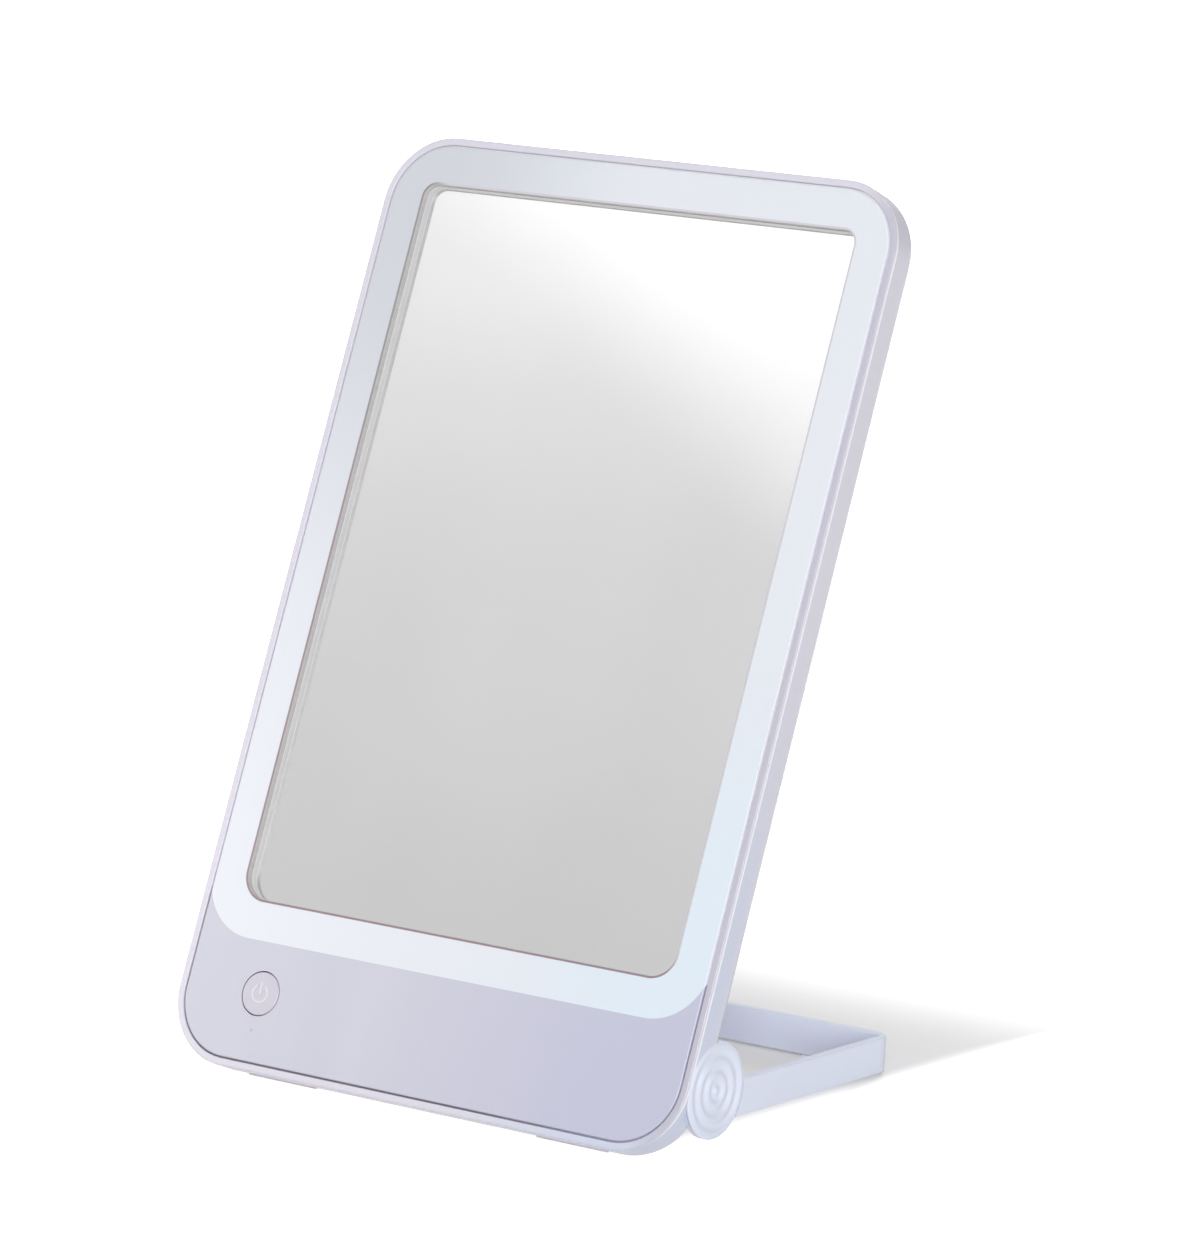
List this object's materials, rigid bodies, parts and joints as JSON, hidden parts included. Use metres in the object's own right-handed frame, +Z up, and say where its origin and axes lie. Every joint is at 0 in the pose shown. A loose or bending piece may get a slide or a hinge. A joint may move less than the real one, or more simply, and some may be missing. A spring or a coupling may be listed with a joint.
{
  "type": "folding vanity mirror",
  "caption": "Slim travel mirror with a lit frame round recessed glass, a power button on its chin and a U-shaped stand that folds flat behind it.",
  "frame": {"origin": "on the floor, at the middle of the whole part's outline seen from above", "axes": "+Z up, the mirror faces -Y and leans back, +X to the viewer's right"},
  "size_m": [0.1334, 0.0976, 0.1924],
  "materials": {
    "shell_plastic": "satin moulded",
    "chin_plastic": "satin moulded",
    "button_plastic": "satin moulded",
    "stand_plastic": "satin moulded",
    "cap_plastic": "semi-gloss moulded",
    "opal_diffuser": "matt opal",
    "mirror": "polished",
    "foam": "matt foam",
    "white_plastic": "matt moulded",
    "steel": "plain",
    "strip_laminate": "white solder mask",
    "led": "gloss",
    "wire_insulation": "plain",
    "pin_brass": "plated",
    "board_laminate": "green solder mask",
    "socket_steel": "stamped",
    "switch_plastic": "moulded",
    "lens": "clear smoked",
    "cell_foil": "foil pouch",
    "cell_tape": "woven",
    "washer_acetal": "plain",
    "rubber": "matt"
  },
  "bodies": {
    "mirror_slab": {"rear_shell": "shell_plastic", "light_frame": "opal_diffuser", "chin_cover": "chin_plastic", "mirror_glass": "mirror", "mirror_tape": "foam", "inner_frame": "white_plastic", "frame_screws": "steel", "led_strip_left": "strip_laminate", "led_strip_right": "strip_laminate", "led_strip_top": "strip_laminate", "led_strip_bottom": "strip_laminate", "led_chips": "led", "strip_jumpers": "wire_insulation", "led_header": "pin_brass", "control_board": "board_laminate", "board_screws": "steel", "usb_socket": "socket_steel", "tact_switch": "switch_plastic", "charge_led": "led", "indicator_lens": "lens", "battery_cell": "cell_foil", "battery_tape": "cell_tape", "battery_leads": "wire_insulation", "base_feet": "rubber", "hinge_cap_left": "cap_plastic", "hinge_cap_right": "cap_plastic", "hinge_pin_left": "steel", "hinge_pin_right": "steel", "friction_washer_left": "washer_acetal", "friction_washer_right": "washer_acetal"},
    "stand": {"stand_bail": "stand_plastic", "stand_pads": "rubber"},
    "button": {"power_button": "button_plastic", "switch_plunger": "switch_plastic"}
  },
  "joints": [
    {"name": "stand_fold", "type": "hinge", "parent": "mirror_slab", "child": "stand", "pos_m": [0, -0.03171, 0.01383], "axis": [1, 0, 0], "range_deg": [-20.05, 69.94]},
    {"name": "power_press", "type": "slide", "parent": "mirror_slab", "child": "button", "axis": [0, 0.9026, -0.4305], "range_m": [0, 0.0005], "stiffness_N_per_m": 800, "springref_m": -0.0015}
  ]
}
